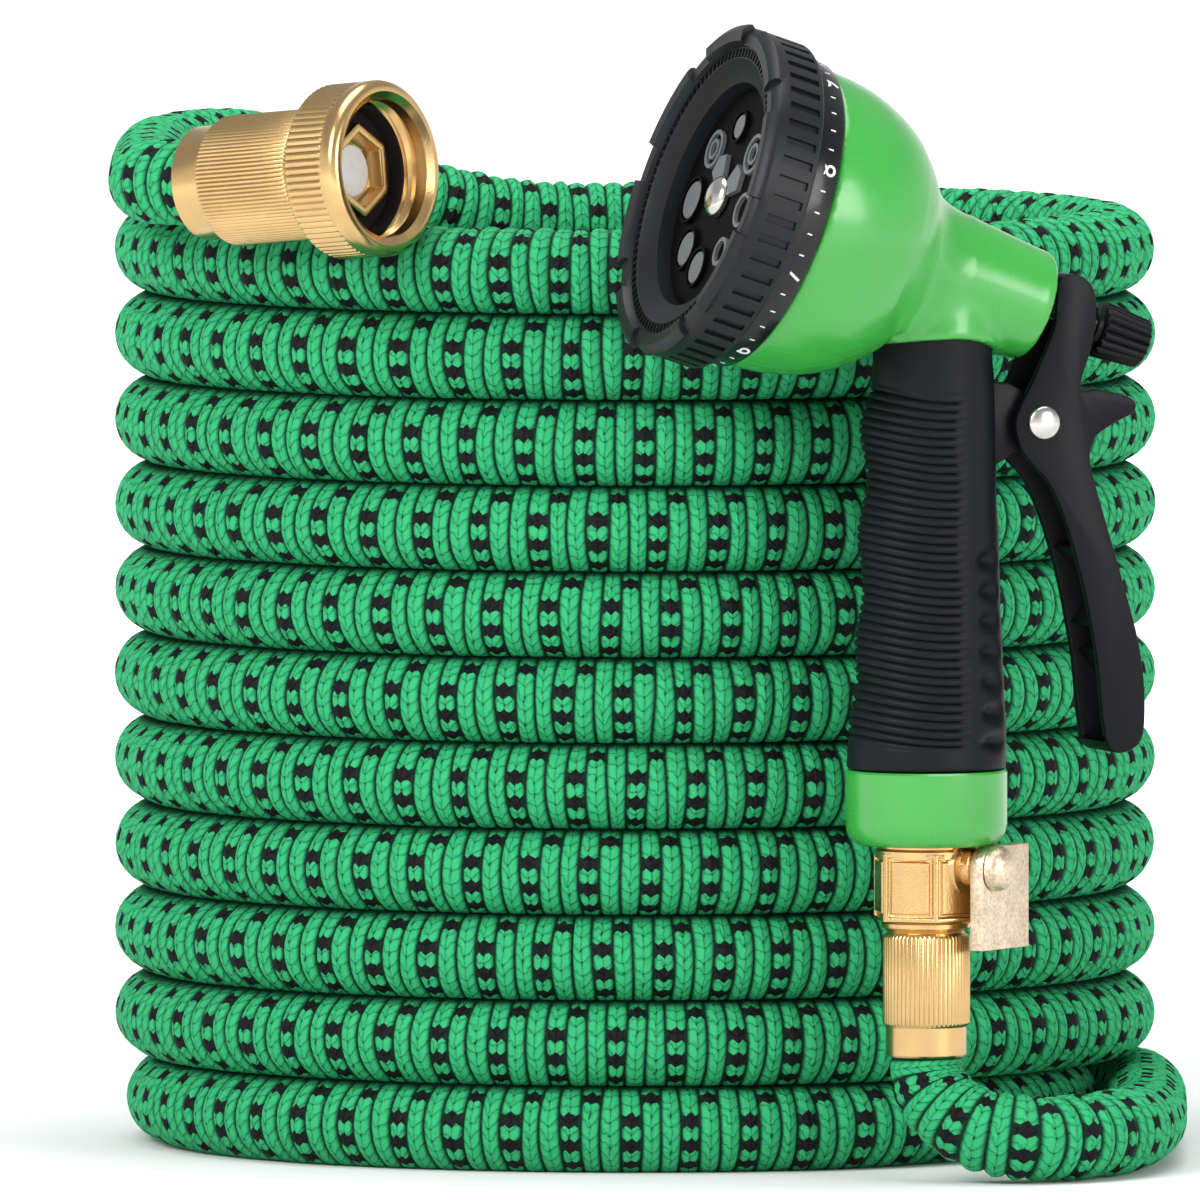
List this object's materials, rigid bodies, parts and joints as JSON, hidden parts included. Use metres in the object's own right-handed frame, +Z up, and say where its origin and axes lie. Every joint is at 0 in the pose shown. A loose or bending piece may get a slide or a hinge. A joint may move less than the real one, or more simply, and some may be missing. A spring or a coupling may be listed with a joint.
{
  "type": "garden hose",
  "caption": "Coiled fabric-sleeved garden hose with a brass tap coupling, a brass shut-off valve and a multi-pattern trigger spray nozzle.",
  "frame": {"origin": "on the floor, in the middle of the box around the coil, the fittings and the nozzle", "axes": "+Z up along the coil's axis; -Y towards the nozzle that stands in front of the coil; the tap coupling lies on top at -X"},
  "size_m": [0.2152, 0.2792, 0.2283],
  "materials": {
    "hose_sleeve": "ruffled woven polyester sleeve, green with black tracer flecks",
    "brass": "turned and fluted, lightly polished",
    "lever_nickel": "warm nickel plate over a cast grain",
    "washer_rubber": "moulded",
    "green_plastic": "moulded, glossy",
    "grip_rubber": "soft-touch with raised ribs",
    "black_plastic": "fine moulded satin",
    "black_gloss": "moulded, glossy",
    "bright_steel": "bright plated"
  },
  "bodies": {
    "hose": {"hose_coil": "hose_sleeve", "hose_floor_turn": "hose_sleeve", "hose_tap_end": "hose_sleeve", "tap_ferrule": "brass", "tap_insert": "brass", "tap_washer": "washer_rubber", "valve_ferrule": "brass", "valve_body": "brass", "nozzle_collar": "green_plastic", "nozzle_body": "green_plastic", "grip": "grip_rubber", "pivot_pin": "bright_steel"},
    "swivel_nut": {"tap_swivel_nut": "brass"},
    "shut_off_lever": {"valve_lever": "lever_nickel", "lever_screw": "lever_nickel"},
    "spray_dial": {"dial_ring": "black_plastic", "pattern_band": "black_gloss", "spray_face": "black_gloss", "face_screw": "bright_steel"},
    "trigger": {"trigger": "black_plastic"},
    "flow_stem": {"stem_rod": "bright_steel"},
    "flow_knob": {"flow_knob": "black_plastic"}
  },
  "joints": [
    {"name": "swivel_nut_turn", "type": "hinge", "parent": "hose", "child": "swivel_nut", "pos_m": [-0.08821, -0.04706, 0.19493], "axis": [0.7963, -0.5972, 0.0958], "continuous": true},
    {"name": "shut_off_turn", "type": "hinge", "parent": "hose", "child": "shut_off_lever", "pos_m": [0.0547, -0.09156, 0.06221], "axis": [-0.866, 0.5, 0], "range_deg": [0, 90]},
    {"name": "dial_turn", "type": "hinge", "parent": "hose", "child": "spray_dial", "pos_m": [0.00922, -0.10812, 0.19681], "axis": [-0.8885, -0.3234, 0.3256], "continuous": true},
    {"name": "trigger_squeeze", "type": "hinge", "parent": "hose", "child": "trigger", "pos_m": [0.07508, -0.08415, 0.14981], "axis": [-0.342, 0.9397, 0], "range_deg": [0, 12], "stiffness_Nm_per_rad": 0.5, "springref_deg": -8.59},
    {"name": "stem_pull", "type": "slide", "parent": "hose", "child": "flow_stem", "axis": [0.8885, 0.3234, -0.3256], "range_m": [0, 0.005]},
    {"name": "flow_knob_turn", "type": "hinge", "parent": "flow_stem", "child": "flow_knob", "pos_m": [0.00922, -0.10812, 0.19681], "axis": [0.8885, 0.3234, -0.3256], "range_deg": [-360, 360]}
  ],
  "couplings": [
    {"joint": "stem_pull", "follows": "trigger_squeeze", "m_per_rad": 0.0225}
  ]
}
